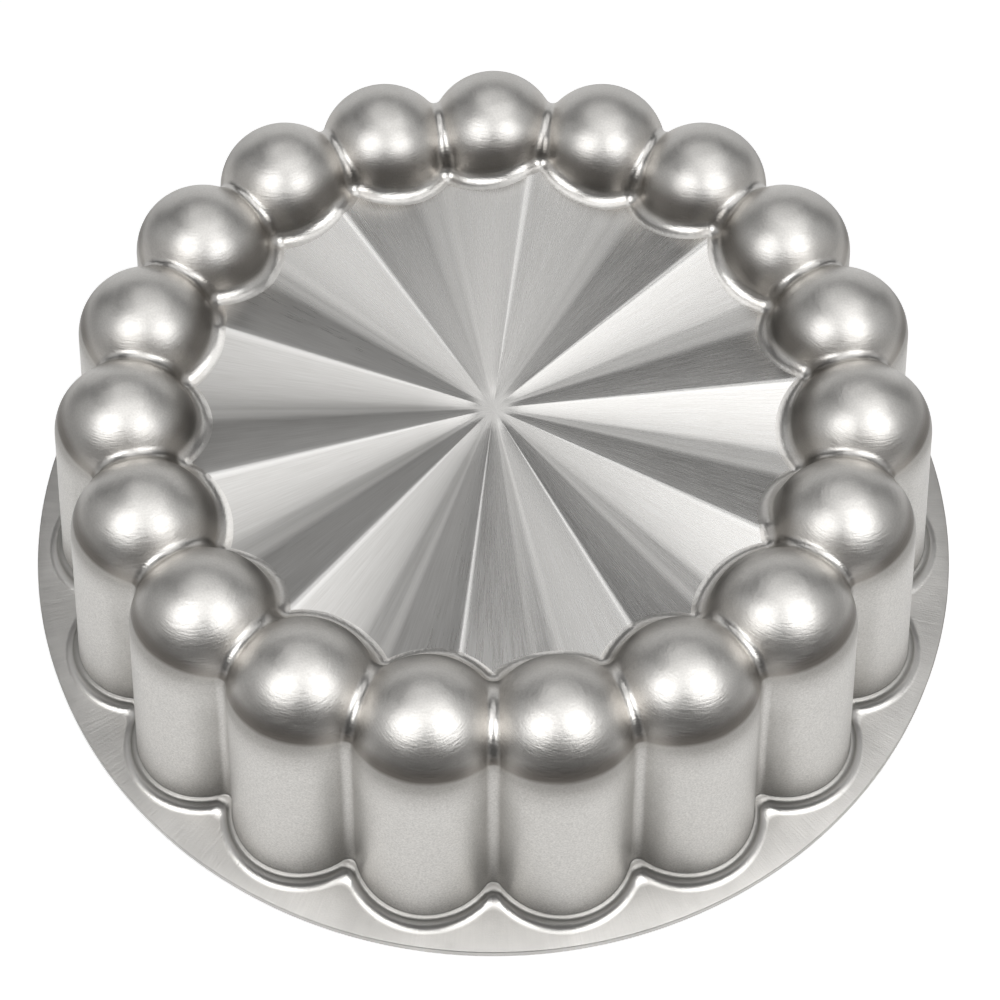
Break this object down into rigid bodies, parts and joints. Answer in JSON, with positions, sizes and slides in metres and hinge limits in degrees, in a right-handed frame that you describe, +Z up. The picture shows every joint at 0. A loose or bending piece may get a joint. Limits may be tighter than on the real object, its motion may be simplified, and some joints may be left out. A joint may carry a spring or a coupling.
{
  "type": "charlotte mould",
  "caption": "Round cast aluminium charlotte cake mould: a ring of leaning, domed fingers about a pleated base, standing on a flat rim with its cavity downwards.",
  "frame": {"origin": "middle of the rim's flat underside, on the mould's axis", "axes": "+Z up along the mould's axis, out of the domes; -Y towards the viewer of the picture"},
  "size_m": [0.257, 0.257, 0.0744],
  "materials": {
    "rim_metal": "coarsely brushed",
    "base_metal": "finely brushed",
    "finger_metal": "satin"
  },
  "bodies": {
    "root": {"rim_flange": "rim_metal", "pleated_base": "base_metal", "finger_01": "finger_metal", "finger_02": "finger_metal", "finger_03": "finger_metal", "finger_04": "finger_metal", "finger_05": "finger_metal", "finger_06": "finger_metal", "finger_07": "finger_metal", "finger_08": "finger_metal", "finger_09": "finger_metal", "finger_10": "finger_metal", "finger_11": "finger_metal", "finger_12": "finger_metal", "finger_13": "finger_metal", "finger_14": "finger_metal", "finger_15": "finger_metal", "finger_16": "finger_metal", "finger_17": "finger_metal", "finger_18": "finger_metal", "finger_19": "finger_metal"}
  },
  "joints": []
}
